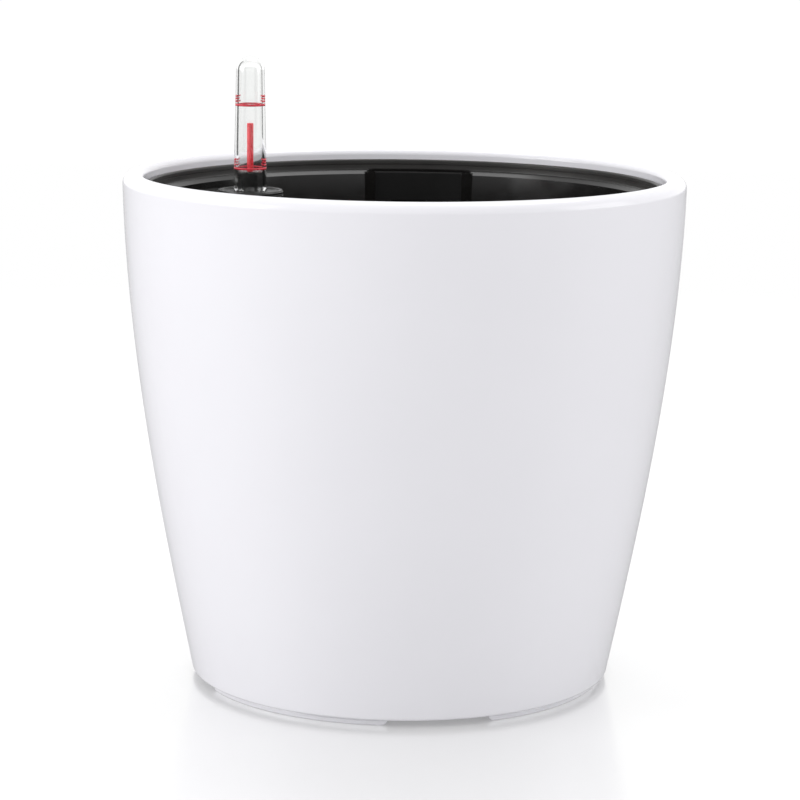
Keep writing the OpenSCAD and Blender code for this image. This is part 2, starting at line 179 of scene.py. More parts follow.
def sweep(bm, outline_at, azimuths, centre=(0, 0), closed=False):
    """Joins the (r, z) outlines at each azimuth, in degrees, into a solid.

    It is a full turn, or a part of one with closed ends.
    """
    rings = []
    for az in azimuths:
        c, s = math.cos(math.radians(az)), math.sin(math.radians(az))
        rings.append([bm.verts.new((centre[0] + r * c, centre[1] + r * s, z))
                      for r, z in outline_at(az)])
    count = len(rings[0])
    pairs = list(zip(rings, rings[1:])) + ([(rings[-1], rings[0])] if closed else [])
    for a, b in pairs:
        for i in range(count):
            j = (i + 1) % count
            bm.faces.new((a[i], a[j], b[j], b[i]))
    if not closed:
        bm.faces.new(rings[0])
        bm.faces.new(list(reversed(rings[-1])))


def turn(segments):
    """The azimuths of a full turn, in degrees."""
    return [360 * i / segments for i in range(segments)]


def lathe(name, outline, centre=(0, 0), segments=96):
    """A round solid of one (r, z) outline."""
    bm = bmesh.new()
    sweep(bm, lambda az: outline, turn(segments), centre, closed=True)
    bmesh.ops.remove_doubles(bm, verts=bm.verts, dist=1e-7)
    return mesh_object(name, bm)


def tube_outline(r_out, r_in, low, high, radius):
    """A ring's section, or a disc's where r_in is 0, with rounded edges."""
    inner = radius if r_in > 0 else 0
    return fillet([(r_in, low), (r_out, low), (r_out, high), (r_in, high)],
                  [inner, radius, radius, inner])


def arc_steps(low, high, step):
    """Even azimuths from low to high, at most a step apart."""
    count = max(2, math.ceil((high - low) / step))
    return [low + (high - low) * i / count for i in range(count + 1)]


def join(name, parts):
    """Puts the parts' meshes into one new object and removes the parts."""
    bm = bmesh.new()
    for part in parts:
        bm.from_mesh(part.data)
    for part in parts:
        bpy.data.objects.remove(part)
    mesh = bpy.data.meshes.new(name)
    bm.to_mesh(mesh)
    bm.free()
    for polygon in mesh.polygons:
        polygon.use_smooth = True
    obj = bpy.data.objects.new(name, mesh)
    bpy.context.scene.collection.objects.link(obj)
    return obj


def settled(obj):
    """Applies the object's modifiers."""
    evaluated = obj.evaluated_get(bpy.context.evaluated_depsgraph_get())
    mesh = bpy.data.meshes.new_from_object(evaluated)
    obj.modifiers.clear()
    obj.data = mesh
    return obj


def combine(obj, others, operation):
    """Cuts the others from the object, or adds them to it, and removes them."""
    for other in others:
        boolean = obj.modifiers.new("combine", "BOOLEAN")
        boolean.operation = operation
        boolean.solver = "EXACT"
        boolean.object = other
        settled(obj)
        bpy.data.objects.remove(other)
    return obj


def soften(obj, width, angle=32, segments=3):
    """Rounds the sharp edges a little and evens out the shading."""
    bevel = obj.modifiers.new("edges", "BEVEL")
    bevel.width = width
    bevel.segments = segments
    bevel.limit_method = "ANGLE"
    bevel.angle_limit = math.radians(angle)
    bevel.harden_normals = False
    even_shading(obj)
    return obj


def even_shading(obj):
    """Shades the rounded edges by the large faces beside them."""
    normals = obj.modifiers.new("normals", "WEIGHTED_NORMAL")
    normals.keep_sharp = True
    normals.weight = 60
    return obj


def block(name, low, high, matrix=Matrix.Identity(4)):
    """A box from low to high, moved by the matrix."""
    bm = bmesh.new()
    bmesh.ops.create_cube(bm, size=1)
    for v in bm.verts:
        v.co = matrix @ Vector([low[k] + (high[k] - low[k]) * (v.co[k] + 0.5) for k in range(3)])
    return mesh_object(name, bm, smooth=False)


def rod(name, r, low, high, centre, segments=64):
    """A plain upright cylinder."""
    return lathe(name, [(0, low), (r, low), (r, high), (0, high)], centre, segments)


def about_z(degrees, x=0, y=0):
    return Matrix.Translation((x, y, 0)) @ Matrix.Rotation(math.radians(degrees), 4, "Z")


# ---------------------------------------------------------------- materials
class Shader:
    """A principled material with a few helpers for procedural detail."""

    def __init__(self, name):
        self.material = bpy.data.materials.new(name)
        self.material.use_nodes = True
        self.tree = self.material.node_tree
        self.nodes, self.links = self.tree.nodes, self.tree.links
        self.main = self.nodes["Principled BSDF"]
        self.place = self.nodes.new("ShaderNodeTexCoord").outputs["Object"]

    def set(self, **values):
        for key, value in values.items():
            self.main.inputs[key.replace("_", " ")].default_value = value
        return self

    def noise(self, scale, detail=3, rough=0.55, stretch=None):
        node = self.nodes.new("ShaderNodeTexNoise")
        node.inputs["Scale"].default_value = scale
        node.inputs["Detail"].default_value = detail
        node.inputs["Roughness"].default_value = rough
        place = self.place
        if stretch:
            mapping = self.nodes.new("ShaderNodeMapping")
            mapping.inputs["Scale"].default_value = stretch
            self.links.new(place, mapping.inputs["Vector"])
            place = mapping.outputs["Vector"]
        self.links.new(place, node.inputs["Vector"])
        return node.outputs["Fac"]

    def spread(self, value, low, high, in_low=0.3, in_high=0.7):
        """Maps the value from its input range to low..high."""
        node = self.nodes.new("ShaderNodeMapRange")
        node.inputs["From Min"].default_value = in_low
        node.inputs["From Max"].default_value = in_high
        node.inputs["To Min"].default_value = low
        node.inputs["To Max"].default_value = high
        self.links.new(value, node.inputs["Value"])
        return node.outputs["Result"]

    def blend(self, value, first, second):
        """The colour between the first and the second one, by the value."""
        node = self.nodes.new("ShaderNodeMix")
        node.data_type = "RGBA"
        node.inputs["A"].default_value = (*first, 1)
        node.inputs["B"].default_value = (*second, 1)
        self.links.new(value, node.inputs["Factor"])
        return node.outputs["Result"]

    def colour(self, first, second, scale, detail=3):
        value = self.spread(self.noise(scale, detail), 0, 1)
        self.links.new(self.blend(value, first, second), self.main.inputs["Base Color"])
        return self

    def roughness(self, low, high, scale, detail=4):
        self.links.new(self.spread(self.noise(scale, detail), low, high), self.main.inputs["Roughness"])
        return self

    def bump(self, *layers):
        """Each layer is (height output, strength, distance), coarse first."""
        normal = None
        for height, strength, distance in layers:
            node = self.nodes.new("ShaderNodeBump")
            node.inputs["Strength"].default_value = strength
            node.inputs["Distance"].default_value = distance
            self.links.new(height, node.inputs["Height"])
            if normal:
                self.links.new(normal, node.inputs["Normal"])
            normal = node.outputs["Normal"]
        self.links.new(normal, self.main.inputs["Normal"])
        return self


def white_gloss():
    """Injection moulded white plastic: a clear gloss with faint waves and a fine skin."""
    s = Shader("white_gloss").set(IOR=1.5)
    s.colour((0.706, 0.700, 0.735), (0.722, 0.716, 0.751), 9)
    s.roughness(0.13, 0.19, 26)
    s.bump((s.noise(16, 2), 0.06, 0.0006), (s.noise(2600, 2), 0.03, 0.00004))
    return s.material


def moulded_black(name, dark, light, rough, grain, shine=0.5):
    """Black plastic with a slight grain and dull handling marks."""
    s = Shader(name).set(IOR=1.5, Specular_IOR_Level=shine)
    s.colour(dark, light, 60, 5)
    s.roughness(rough[0], rough[1], 95)
    s.bump((s.noise(40, 2), 0.06, 0.0003), (s.noise(grain, 3), 0.07, 0.00004))
    return s.material


def liner_black():
    """The liner's glossy wall, with the duller, paler rim band above its shoulder."""
    s = Shader("liner_black").set(IOR=1.5, Specular_IOR_Level=0.4)
    split = s.nodes.new("ShaderNodeSeparateXYZ")
    s.links.new(s.place, split.inputs["Vector"])
    band = s.spread(split.outputs["Z"], 0, 1, BAND_Z - 0.3 * MM, BAND_Z + 0.3 * MM)
    shade = s.spread(s.noise(60, 5), 0.8, 1.2)
    tint = s.nodes.new("ShaderNodeMix")
    tint.data_type, tint.blend_type = "RGBA", "MULTIPLY"
    tint.inputs["Factor"].default_value = 1
    s.links.new(s.blend(band, (0.0064, 0.0060, 0.0057), (0.019, 0.0176, 0.0165)), tint.inputs["A"])
    s.links.new(shade, tint.inputs["B"])
    s.links.new(tint.outputs["Result"], s.main.inputs["Base Color"])
    dull = s.nodes.new("ShaderNodeMath")
    dull.operation = "MULTIPLY_ADD"
    dull.inputs[1].default_value = 0.24
    s.links.new(band, dull.inputs[0])
    s.links.new(s.spread(s.noise(95, 4), 0.13, 0.22), dull.inputs[2])
    s.links.new(dull.outputs["Value"], s.main.inputs["Roughness"])
    s.bump((s.noise(40, 2), 0.06, 0.0003), (s.noise(1900, 3), 0.07, 0.00004))
    return s.material


def clear_acrylic():
    """The cap's polished clear plastic."""
    s = Shader("clear_acrylic").set(IOR=1.49, Transmission_Weight=1.0)
    s.main.inputs["Base Color"].default_value = (0.945, 0.95, 0.945, 1)
    s.roughness(0.012, 0.03, 220)
    s.bump((s.noise(120, 2), 0.02, 0.0001))
    return s.material


def red_plastic(name, colour, darker, transmission=0.0):
    """The rod's solid red, or the marks' red ink, which lets some light through."""
    s = Shader(name).set(IOR=1.49, Transmission_Weight=transmission)
    s.colour(colour, darker, 240)
    s.roughness(0.24, 0.36, 300)
    s.bump((s.noise(1600, 2), 0.05, 0.00005))
    return s.material


def foam():
    """The float's closed-cell foam."""
    s = Shader("closed_cell_foam").set(IOR=1.4)
    s.colour((0.80, 0.79, 0.74), (0.88, 0.87, 0.83), 500)
    s.roughness(0.62, 0.8, 700)
    s.bump((s.noise(1400, 4, 0.7), 0.5, 0.0004))
    return s.material


def felt():
    """The wicks' needled felt."""
    s = Shader("wick_felt").set(IOR=1.4, Sheen_Weight=0.5, Sheen_Roughness=0.6)
    s.colour((0.50, 0.48, 0.42), (0.70, 0.68, 0.61), 420, 6)
    s.roughness(0.85, 0.97, 300)
    s.bump((s.noise(900, 6, 0.8, (1, 1, 0.25)), 0.8, 0.0008))
    return s.material


def soft_rubber():
    """The seal and the gasket."""
    s = Shader("soft_rubber").set(IOR=1.45)
    s.colour((0.022, 0.022, 0.023), (0.034, 0.034, 0.035), 200)
    s.roughness(0.55, 0.72, 260)
    s.bump((s.noise(1500, 3), 0.2, 0.0001))
    return s.material


def natural_plastic():
    """Undyed plastic of the rod's guide and the float's clip."""
    s = Shader("natural_plastic").set(IOR=1.5, Subsurface_Weight=0.1, Subsurface_Scale=0.004)
    s.colour((0.72, 0.72, 0.69), (0.80, 0.80, 0.77), 180)
    s.roughness(0.3, 0.42, 240)
    s.bump((s.noise(1200, 3), 0.1, 0.00008))
    return s.material


MATERIALS = {
    "pot": white_gloss(),
    "liner": liner_black(),
    # The handle plates' colour is their own black plus painted shade: darker than the liner's black, to
    # stand for the shade in the pockets they sit in.
    "handle": moulded_black("handle_black_pocket_shade", (0.0035, 0.0034, 0.0034), (0.0055, 0.0054, 0.0054),
                            (0.42, 0.55), 2300, 0.2),
    "gauge": moulded_black("gauge_black", (0.006, 0.006, 0.006), (0.010, 0.010, 0.010),
                           (0.20, 0.30), 2100),
    "shaft": moulded_black("shaft_black", (0.014, 0.014, 0.015), (0.022, 0.022, 0.023),
                           (0.36, 0.5), 1700),
    "cup": moulded_black("cup_black", (0.014, 0.014, 0.015), (0.024, 0.024, 0.025),
                         (0.36, 0.52), 1700),
    "plug": moulded_black("plug_black", (0.014, 0.014, 0.015), (0.022, 0.022, 0.023),
                          (0.3, 0.44), 1700),
    "separator": moulded_black("separator_grey", (0.040, 0.040, 0.042), (0.060, 0.060, 0.062),
                               (0.42, 0.6), 1500),
    "cap": clear_acrylic(),
    "rod": red_plastic("rod_red", (0.78, 0.028, 0.045), (0.70, 0.022, 0.038)),
    "float": foam(),
    "float_trim": natural_plastic(),
    "seal": soft_rubber(),
    "wick": felt(),
}
MARK_RED = red_plastic("printed_red", (0.90, 0.05, 0.09), (0.82, 0.04, 0.07), 0.45)


def dress(obj, slot):
    """Gives the object its slot's material."""
    obj.data.materials.clear()
    obj.data.materials.append(MATERIALS[slot])
    return obj


def piece(obj, slot, body, *nodes):
    """Finishes a piece: its material, its body and the CAD nodes that it stands for."""
    dress(obj, slot)
    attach(obj, body)
    if nodes:
        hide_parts(*nodes)
    return obj


# ---------------------------------------------------------------- outer pot
def pot_r(z):
    """Outer radius of the pot at height z."""
    t = (WIDE_Z - z) / WIDE_Z
    return RIM_R - BELLY[0] * t - BELLY[1] * t * t + BELLY[2] * t ** 3


def rim_arc(cx, cz, rx, rz, start, end, steps):
    """Points of an ellipse's arc in an (r, z) outline, between two angles in degrees."""
    angles = [math.radians(start + (end - start) * i / steps) for i in range(steps + 1)]
    return [(cx + rx * math.cos(a), cz + rz * math.sin(a)) for a in angles]


def pot_outline():
    """The pot's section: up the outside, over the rim, down the inside, and in to the drain."""
    edge = 1.6 * MM
    steps = 56
    bottom = rim_arc(pot_r(FOOT_H) - edge, FOOT_H + edge, edge, edge, -90, -8, 6)
    low = bottom[-1][1]
    side = [(pot_r(z), z) for z in (low + (WIDE_Z - low) * i / steps for i in range(1, steps + 1))]
    shift = bottom[-1][0] - pot_r(low)
    side = [(r + shift * max(0, 1 - 3 * i / steps), z) for i, (r, z) in enumerate(side)]
    crest = rim_arc(CREST_R, WIDE_Z, RIM_R - CREST_R, RIM_H, 6, 90, 14)
    inside = rim_arc(CREST_R, POT_H - 3 * MM, CREST_R - LIP_R, 3 * MM, 97, 180, 12)
    wall_z, corner = LIP_Z + 4 * MM, 3 * MM
    lip_out = LIP_R + LIP_WALL
    lip = fillet([(LIP_R, LIP_Z + 2 * MM), (LIP_R, LIP_Z), (lip_out, LIP_Z), (lip_out, wall_z)],
                 [0, 0.8 * MM, 0.8 * MM, 0], 3)
    wall = [(pot_r(z) - POT_WALL, z) for z in
            (wall_z + (POT_INSIDE_Z + corner - wall_z) * i / steps for i in range(steps + 1))]
    floor = rim_arc(wall[-1][0] - corner, POT_INSIDE_Z + corner, corner, corner, 0, -90, 6)[1:]
    boss_z = POT_INSIDE_Z + BOSS_H
    boss = fillet([(BOSS_R, POT_INSIDE_Z), (BOSS_R, boss_z), (DRAIN_R, boss_z), (DRAIN_R, FOOT_H)],
                  [1 * MM, 0.6 * MM, 0.4 * MM, 0.5 * MM], 3)
    return bottom + side + crest + inside + lip + wall + floor + boss


def foot_segment(bm, middle):
    """One raised part of the foot ring, with rounded lower ends."""
    half = (360 / FOOT_COUNT - FOOT_GAP) / 2
    corner = 3 * MM
    bite = math.degrees(corner / FOOT_R)
    ends = [half - bite * (1 - math.cos(math.radians(a))) for a in range(0, 91, 15)]
    inner = arc_steps(-ends[-1], ends[-1], 2.5)
    offsets = sorted({round(v, 5) for v in [-e for e in ends] + inner + ends})

    def outline(az):
        into = min(1, (half - abs(az - middle)) / bite)
        lift = corner * 0.95 * (1 - math.sqrt(max(0, 1 - (1 - into) ** 2)))
        low = min(lift, FOOT_H - 0.1 * MM)
        top, inner_r = FOOT_H + 1 * MM, FOOT_R - FOOT_WALL
        return fillet([(inner_r, low), (FOOT_R, low), (FOOT_R + 0.2 * MM, top), (inner_r, top)],
                      [0.6 * MM, 0.6 * MM, 0, 0], 3)

    sweep(bm, outline, [middle + v for v in offsets])


def make_pot():
    shell = lathe("pot_shell", pot_outline(), segments=256)
    bm = bmesh.new()
    for i in range(FOOT_COUNT):
        foot_segment(bm, FOOT_AZ + 360 / FOOT_COUNT * (i + 0.5))
    feet = mesh_object("pot_feet", bm)
    pot = join("white_pot", [shell, feet])
    even_shading(pot)
    return piece(pot, "pot", "pot", "outer_pot")


# ---------------------------------------------------------------- liner
def liner_r(z):
    """Outer radius of the liner's tapered wall."""
    return WALL_LOW_R + (WALL_TOP_R - WALL_LOW_R) * (z - LINER_FLOOR_Z) / (WALL_TOP_Z - LINER_FLOOR_Z)


def pocket_share(az, half, blend=0.5):
    """1 inside a handle's pocket, 0 outside it, with a soft edge."""
    away = min(abs((az - HANDLE_AZ - turned + 180) % 360 - 180) for turned in (0, 180))
    into = min(1, max(0, (half + blend - away) / blend))
    return into * into * (3 - 2 * into)


def mix(a, b, share):
    """The value between a and b."""
    return a + (b - a) * share


def liner_outline(az):
    """The liner's wall and floor at azimuth az: every azimuth has the same points."""
    outer, inner = pocket_share(az, POCKET_HALF), pocket_share(az, POCKET_HALF - POCKET_CHEEK)
    inner_r, round_r, heel = BAND_R - LINER_WALL, 0.8 * MM, LINER_FLOOR_Z + 1.5 * MM
    below = [heel + (POCKET_Z - LINER_FLOOR_Z - 2.3 * MM) * i / 12 for i in range(13)]
    above = [POCKET_Z + (WALL_TOP_Z - POCKET_Z) * i / 6 for i in range(7)]
    points = [(0, LINER_FLOOR_Z)]
    points += rim_arc(WALL_LOW_R - 1.4 * MM, heel, 1.5 * MM, 1.5 * MM, -90, -6, 4)
    points += [(liner_r(z), z) for z in below[1:]]
    points += [(mix(liner_r(z), BAND_R - 0.05 * MM, outer), z) for z in above]
    points += [(BAND_R, BAND_Z)]
    points += rim_arc(BAND_R - round_r, LINER_TOP - round_r, round_r, round_r, 0, 90, 4)
    points += rim_arc(inner_r + round_r, LINER_TOP - round_r, round_r, round_r, 90, 180, 4)
    groove = LINER_TOP - 2.1 * MM
    points += [(inner_r + d * MM, groove - dz * MM)
               for d, dz in ((0, 0), (0.25, 0.15), (0.25, 0.4), (0, 0.55))]
    points += [(inner_r, BAND_Z + 0.6 * MM), (inner_r - 0.15 * MM, BAND_Z + 0.1 * MM)]
    pocket_heights = [z + 2 * MM for z in above[:-1]] + above[-1:]
    points += [(mix(liner_r(z) - LINER_WALL, BAND_R - POCKET_WALL, inner), z)
               for z in reversed(pocket_heights)]
    points += [(liner_r(z) - LINER_WALL, z) for z in reversed([v + 2 * MM for v in below[1:]])]
    points += rim_arc(WALL_LOW_R - LINER_WALL - 2.6 * MM, SOIL_Z + 3 * MM, 3 * MM, 3 * MM, -4, -90, 4)
    return points + [(0, SOIL_Z)]


def liner_azimuths():
    """Even azimuths, with closer ones at the pockets' edges."""
    values = {round(v, 3) for v in turn(180)}
    for turned in (0, 180):
        for half in (POCKET_HALF, POCKET_HALF - POCKET_CHEEK):
            for side in (-1, 1):
                values |= {round((HANDLE_AZ + turned + side * (half + k * 0.125)) % 360, 3)
                           for k in range(5)}
    ordered = sorted(values)
    return [a for a, b in zip(ordered, ordered[1:] + [ordered[0] + 360]) if b - a > 0.04]


def housing_ring(r, z, bite):
    """The platform's plan at height z: a round nose at the gauge, flanks, and an end inside the wall."""
    turned = Matrix.Rotation(math.radians(GAUGE_AZ), 2)
    nose = [(GAUGE_R + r * math.cos(a), r * math.sin(a)) for a in
            (math.radians(90 + 180 * i / 28) for i in range(29))]
    far = liner_r(z) - LINER_WALL + bite
    half = math.asin(r / far)
    end = [(far * math.cos(a), far * math.sin(a)) for a in (half * (i / 4 - 1) for i in range(9))]
    return [(*(turned @ Vector(p)), z) for p in nose + end]


def housing_prism(name, levels, bite):
    """A closed solid through the plans at (height, radius) levels."""
    bm = bmesh.new()
    rings = [[bm.verts.new(p) for p in housing_ring(r, z, bite)] for z, r in levels]
    for a, b in zip(rings, rings[1:]):
        for i in range(len(a)):
            j = (i + 1) % len(a)
            bm.faces.new((a[i], a[j], b[j], b[i]))
    bm.faces.new(rings[0])
    bm.faces.new(rings[-1])
    return mesh_object(name, bm)


def make_platform():
    """The gauge's seat beside the wall, hollow above the supply shaft."""
    low, step, high = SEAT_Z - SKIRT_H, SEAT_Z - STEP_H, SEAT_Z
    levels = [(low, SKIRT_R), (step - 0.8 * MM, SKIRT_R),
              (step - 0.25 * MM, SKIRT_R - 0.25 * MM), (step, SKIRT_R - 0.8 * MM),
              (step, SEAT_R + 0.5 * MM), (step + 0.4 * MM, SEAT_R + 0.1 * MM),
              (high - 0.5 * MM, SEAT_R), (high - 0.15 * MM, SEAT_R - 0.15 * MM),
              (high, SEAT_R - 0.5 * MM)]
    platform = housing_prism("platform", levels, 1 * MM)
    room_r = SHAFT_R + 0.1 * MM
    room = housing_prism("platform_room", [(low - 1 * MM, room_r), (SEAT_Z - 3 * MM, room_r)],
                         -0.05 * MM)
    mouth = rod("platform_mouth", MOUTH_R, low - 2 * MM, high + 2 * MM, GAUGE)
    return combine(combine(platform, [room], "DIFFERENCE"), [mouth], "DIFFERENCE")


def make_guides():
    """Four channels that the handles' plates slide in, with a stop above the plates' ears."""
    low_r, high_r = GUIDE_R, BAND_R - 1 * MM
    face_r = HANDLE_IN_R - 0.35 * MM
    low, high = POCKET_Z + 1 * MM, BAND_Z - 1 * MM
    plate, ear = HANDLE_HALF + 0.25, EAR_HALF + 0.25
    edge, last = POCKET_HALF - 2.4, POCKET_HALF + 0.2
    bm = bmesh.new()
    for middle in (HANDLE_AZ, HANDLE_AZ + 180):
        for side in (-1, 1):
            def outline(az, middle=middle):
                away = abs((az - middle + 180) % 360 - 180)
                slot = high_r if away > ear else face_r
                above = high_r if away > plate else face_r
                return [(low_r, low), (slot, low), (slot, STOP_Z),
                        (above, STOP_Z), (above, high), (low_r, high)]
            hair = 0.01
            steps = [edge, plate - hair, plate + hair, (plate + ear) / 2, ear - hair, ear + hair, last]
            sweep(bm, outline, [middle + side * v for v in steps])
    return mesh_object("guides", bm)


def make_liner():
    """The inner pot in one piece, with its legs, shaft socket, handle guides and holes."""
    bm = bmesh.new()
    sweep(bm, liner_outline, liner_azimuths(), closed=True)
    liner = mesh_object("liner_shell", bm)
    leg = [(0, POT_INSIDE_Z), (LEG_LOW_R, POT_INSIDE_Z), (LEG_R, LEG_TOP_Z), (0, LEG_TOP_Z)]
    legs = join("legs", [lathe(f"leg_{i}", leg, place, 48) for i, place in enumerate(LEGS)])
    ring = tube_outline(SHAFT_R + 2 * MM, SHAFT_R + 0.1 * MM, SOIL_Z - 1 * MM, SOIL_Z + 4 * MM, 0.4 * MM)
    socket = lathe("socket", ring, GAUGE)
    combine(liner, [make_platform(), legs, socket, make_guides()], "UNION")
    cutters = [rod(f"cup_hole_{i}", CUP_R, HOLE_LOW, HOLE_HIGH, (mid.x, mid.y))
               for i, mid in enumerate(CUP_MIDS)]
    cutters.append(rod("shaft_hole", MOUTH_R, HOLE_LOW, HOLE_HIGH, GAUGE))
    well = [(0, POT_INSIDE_Z + 2 * MM), (LEG_LOW_R - 2 * MM, POT_INSIDE_Z + 2 * MM),
            (LEG_R - 2 * MM, SOIL_Z + 1 * MM), (0, SOIL_Z + 1 * MM)]
    cutters += [lathe(f"well_{i}", well, place, 48) for i, place in enumerate(LEGS)]
    for count, radius, first in DRIP_RINGS:
        for i in range(count):
            a = math.radians(CUP_AZ + first + 360 / count * i)
            place = (radius * math.cos(a), radius * math.sin(a))
            cutters.append(rod(f"drip_{count}_{i}", DRIP_R, HOLE_LOW, HOLE_HIGH, place, 24))
    combine(liner, [join("liner_cutters", cutters)], "DIFFERENCE")
    liner.name = "black_liner"
    sharpen(liner)
    return piece(liner, "liner", "liner", "liner")


def sharpen(obj, angle=34):
    """Keeps the edges crisp where the faces meet at more than the angle."""
    obj.data.set_sharp_from_angle(angle=math.radians(angle))
    return even_shading(obj)


# ---------------------------------------------------------------- lifting handles
def window_cutter(name, middle, radius, half, low, high, corner):
    """A rounded rectangle, laid round the pot's axis and driven through a handle's plate."""
    width, height = math.radians(half) * radius, (high - low) / 2
    corners = [(-width, -height), (width, -height), (width, height), (-width, height)]
    loop = fillet(corners, [corner] * 4, 6)
    loop = [p for a, b in zip(loop, loop[1:] + loop[:1]) for p in
            ((a[0] + (b[0] - a[0]) * k / 4, a[1] + (b[1] - a[1]) * k / 4) for k in range(4))]
    bm = bmesh.new()
    rings = []
    for r in (radius - 8 * MM, radius + 8 * MM):
        places = [(math.radians(middle) + along / radius, (low + high) / 2 + z) for along, z in loop]
        rings.append([bm.verts.new((r * math.cos(a), r * math.sin(a), z)) for a, z in places])
    for i in range(len(loop)):
        j = (i + 1) % len(loop)
        bm.faces.new((rings[0][i], rings[0][j], rings[1][j], rings[1][i]))
    bm.faces.new(rings[0])
    bm.faces.new(rings[1])
    return mesh_object(name, bm)


def make_handle(node, middle):
    """A curved plate with a finger window, and an ear at each lower corner that meets the stop."""
    low, high = HANDLE_LOW.z, HANDLE_HIGH.z
    ear_top = low + EAR_H
    inner, outer = HANDLE_IN_R, HANDLE_OUT_R
    round_r = 0.7 * MM

    def outline(az):
        away = abs(az - middle)
        share = min(1, max(0, (away - HANDLE_HALF + 0.01) / 0.02))
        top = mix(high, ear_top, share)
        return fillet([(inner, low), (outer, low), (outer, top), (inner, top)], [round_r] * 4, 3)

    ear_steps = [HANDLE_HALF, HANDLE_HALF + 0.02, (HANDLE_HALF + EAR_HALF) / 2, EAR_HALF]
    steps = arc_steps(0, HANDLE_HALF - 0.02, 1.4) + ear_steps
    bm = bmesh.new()
    sweep(bm, outline, sorted({middle + s * v for v in steps for s in (-1, 1)}))
    plate = mesh_object("plate", bm)
    window = window_cutter("window", middle, (inner + outer) / 2, WINDOW_HALF,
                           ear_top + SILL_H, high - GRIP_H, 4 * MM)
    combine(plate, [window], "DIFFERENCE")
    plate.name = f"{node}_plate"
    soften(plate, 0.35 * MM, 40, 2)
    return piece(plate, "handle", "back_handle" if node == "handle_back" else "front_handle", node)


# ---------------------------------------------------------------- water gauge
def cap_r(z):
    """Outer radius of the clear cap's tapered side."""
    straight = CAP_H - DOME_R
    return CAP_FOOT_R + (DOME_R - CAP_FOOT_R) * (z - CAP_LOW.z) / straight


def make_cap():
    """The clear domed cap, hollow, with vents round its foot."""
    low, top = CAP_LOW.z, CAP_LOW.z + CAP_H - DOME_R
    inner_r, ceiling = DOME_R - CAP_WALL_TOP, top - 0.1 * MM
    inner_foot = CAP_FOOT_R - CAP_WALL_LOW
    side = [(cap_r(z), z) for z in (low + 0.5 * MM + (top - low - 0.5 * MM) * i / 24 for i in range(25))]
    dome = rim_arc(0, top, DOME_R, DOME_R, 0, 90, 22)[1:]
    inner = rim_arc(0, ceiling, inner_r, inner_r, 90, 0, 22)
    inner_side = [(mix(inner_r, inner_foot, i / 24), mix(ceiling, low + 0.4 * MM, i / 24))
                  for i in range(1, 25)]
    foot = [(inner_foot + 0.15 * MM, low + 0.08 * MM), (inner_foot + 0.5 * MM, low),
            (CAP_FOOT_R - 0.4 * MM, low), (CAP_FOOT_R - 0.1 * MM, low + 0.12 * MM)]
    cap = lathe("cap_shell", side + dome + inner + inner_side + foot, GAUGE, 128)
    notches = [block(f"notch_{k}", (CAP_FOOT_R - 1.5 * MM, -1 * MM, low - 1 * MM),
                     (CAP_FOOT_R + 1.5 * MM, 1 * MM, low + 0.75 * MM), about_z(360 / NOTCHES * k, *GAUGE))
               for k in range(NOTCHES)]
    combine(cap, [join("notches", notches)], "DIFFERENCE")
    cap.name = "clear_cap"
    cap.data.set_sharp_from_angle(angle=math.radians(40))
    cap.visible_shadow = False
    return piece(cap, "cap", "gauge", "gauge_cap")


def make_level_marks():
    """Printed lines round the cap at the lowest and highest water level, with short ticks above each."""
    bm = bmesh.new()

    def line(z, height, azimuths, closed=False):
        low, high = z - height / 2, z + height / 2
        r_low, r_high = cap_r(low) + 0.06 * MM, cap_r(high) + 0.06 * MM
        outline = [(r_low - INK, low), (r_low, low), (r_high, high), (r_high - INK, high)]
        sweep(bm, lambda az: outline, azimuths, GAUGE, closed)

    for level in LEVELS:
        line(level, LINE_H, turn(96), closed=True)
        for side in (0, 180):
            for k, half in enumerate(TICK_HALVES):
                line(level + (FIRST_TICK + TICK_STEP * k) * MM, TICK_H,
                     arc_steps(side - half, side + half, 4))
    marks = mesh_object("level_marks", bm)
    marks.data.materials.append(MARK_RED)
    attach(marks, "gauge")


def make_flange():
    """The black flange with its low ring, the plug under it and the collar inside the cap."""
    low, face = FLANGE_LOW.z, GASKET_HIGH.z
    top, ring_top = CAP_LOW.z, CAP_LOW.z + 0.7 * MM
    collar_top, tube_top = FLANGE_HIGH.z, TUBE_HIGH.z
    bore, tube = ROD_R + 0.1 * MM, TUBE_R + 0.02 * MM
    corners = [(tube, low, 0.3), (NECK_R, low, 0.4), (NECK_R, face, 0),
               (FLANGE_R, face, 0.25), (FLANGE_R, top, 0.35), (FLANGE_R - 0.35 * MM, top, 0.1),
               (FLANGE_R - 0.5 * MM, ring_top, 0.3), (FLANGE_R - 1.9 * MM, ring_top, 0.3),
               (FLANGE_R - 2.2 * MM, top, 0.25), (COLLAR_R, top, 0.4), (COLLAR_R, collar_top, 0.7),
               (bore, collar_top, 0.3), (bore, tube_top, 0), (tube, tube_top, 0)]
    outline = fillet([(r, z) for r, z, _ in corners], [size * MM for _, _, size in corners], 4)
    flange = lathe("flange_plate", outline, GAUGE, 128)
    even_shading(flange)
    return piece(flange, "gauge", "gauge", "gauge_flange")


def make_rod():
    """The red rod that shows the water level in the cap."""
    r, low, high = ROD_R, ROD_LOW.z, ROD_HIGH.z
    outline = fillet([(0, low), (r, low), (r, high), (0, high)], [0, 0.3 * MM, 0.25 * MM, 0], 4)
    return piece(lathe("red_rod", outline, GAUGE, 48), "rod", "float", "float_rod")


def make_float():
    """The foam float, open above the rod's foot."""
    low, high = FLOAT_LOW.z, FLOAT_HIGH.z
    r, bore = FLOAT_HIGH.x - GAUGE[0], ROD_R + 0.02 * MM
    outline = fillet([(0, low), (r, low), (r, high),
                      (bore, high), (bore, low + 3 * MM), (0, low + 3 * MM)],
                     [0, 1.4 * MM, 1.4 * MM, 0.3 * MM, 0, 0], 5)
    return piece(lathe("foam_float", outline, GAUGE, 64), "float", "float", "float_body")


